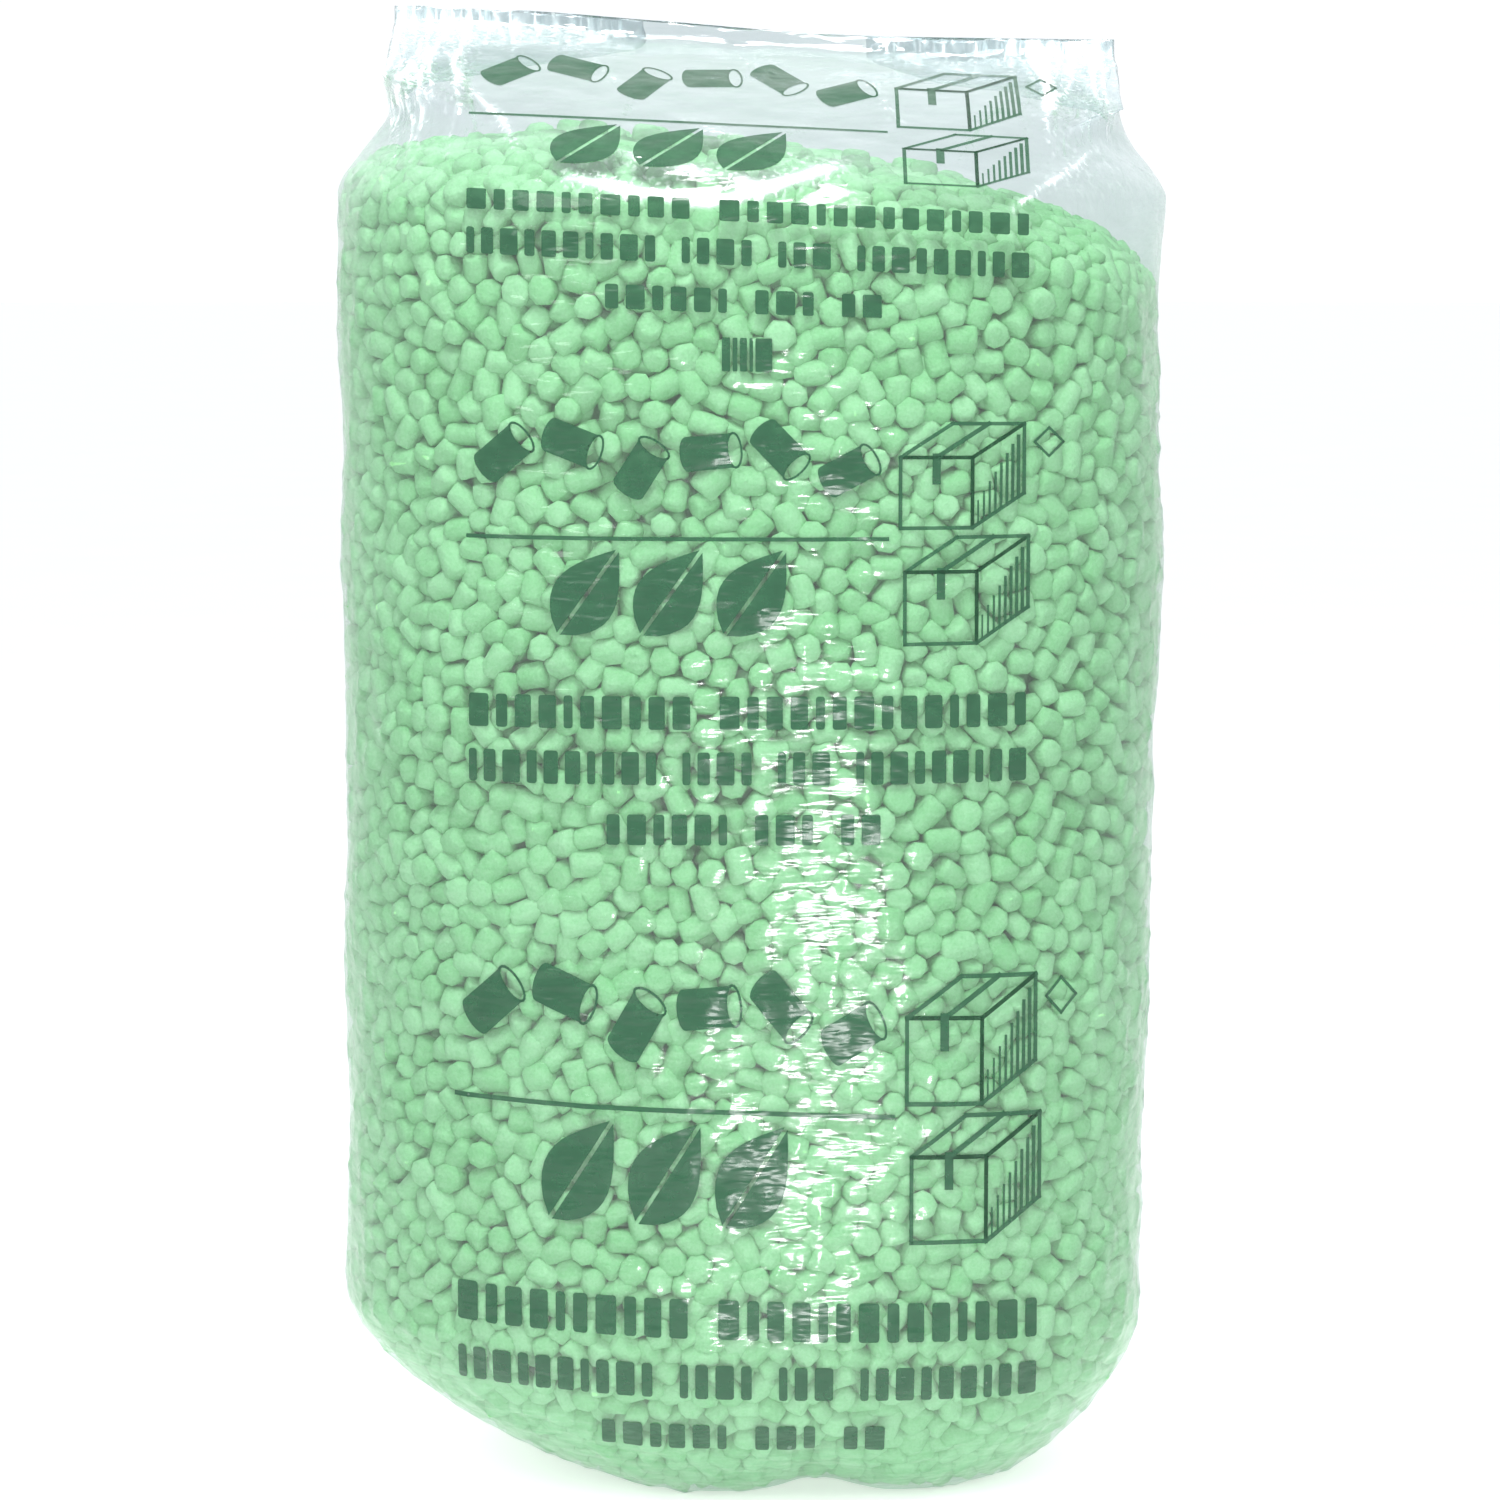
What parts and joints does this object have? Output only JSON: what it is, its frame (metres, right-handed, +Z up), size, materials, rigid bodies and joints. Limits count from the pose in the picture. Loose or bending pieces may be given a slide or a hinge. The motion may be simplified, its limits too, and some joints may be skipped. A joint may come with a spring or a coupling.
{
  "type": "packing peanut bag",
  "caption": "Tall clear film bag packed with pale green starch loose-fill chips, gusseted at the sides and welded flat across the top, standing upright.",
  "frame": {"origin": "on the floor, under the middle of the bag's bounding box", "axes": "+Z up through the bag, +X to the right along the top weld as seen from the front, -Y out of the printed front"},
  "size_m": [0.734, 0.596, 1.3045],
  "materials": {
    "film": "clear blown polyethylene film, glossy, slightly hazy",
    "chips": "pale mint green starch foam, matt",
    "ink": "dark green ink printed on the film, satin"
  },
  "bodies": {
    "root": {"bag_film": "film", "chip_fill": "chips", "chip_01": "chips", "chip_02": "chips", "chip_03": "chips", "chip_04": "chips", "chip_05": "chips", "chip_06": "chips", "chip_07": "chips", "chip_08": "chips", "chip_09": "chips", "chip_10": "chips", "chip_11": "chips", "chip_12": "chips", "chip_13": "chips", "chip_14": "chips", "chip_15": "chips", "chip_16": "chips", "chip_17": "chips", "chip_18": "chips", "chip_19": "chips", "chip_20": "chips", "chip_21": "chips", "chip_22": "chips", "chip_23": "chips", "chip_24": "chips", "chip_25": "chips", "chip_26": "chips", "chip_27": "chips", "chip_28": "chips", "chip_29": "chips", "chip_30": "chips", "chip_31": "chips", "chip_32": "chips", "chip_33": "chips", "chip_34": "chips", "chip_35": "chips", "chip_36": "chips", "chip_37": "chips", "chip_38": "chips", "chip_39": "chips", "chip_40": "chips"}
  },
  "joints": []
}
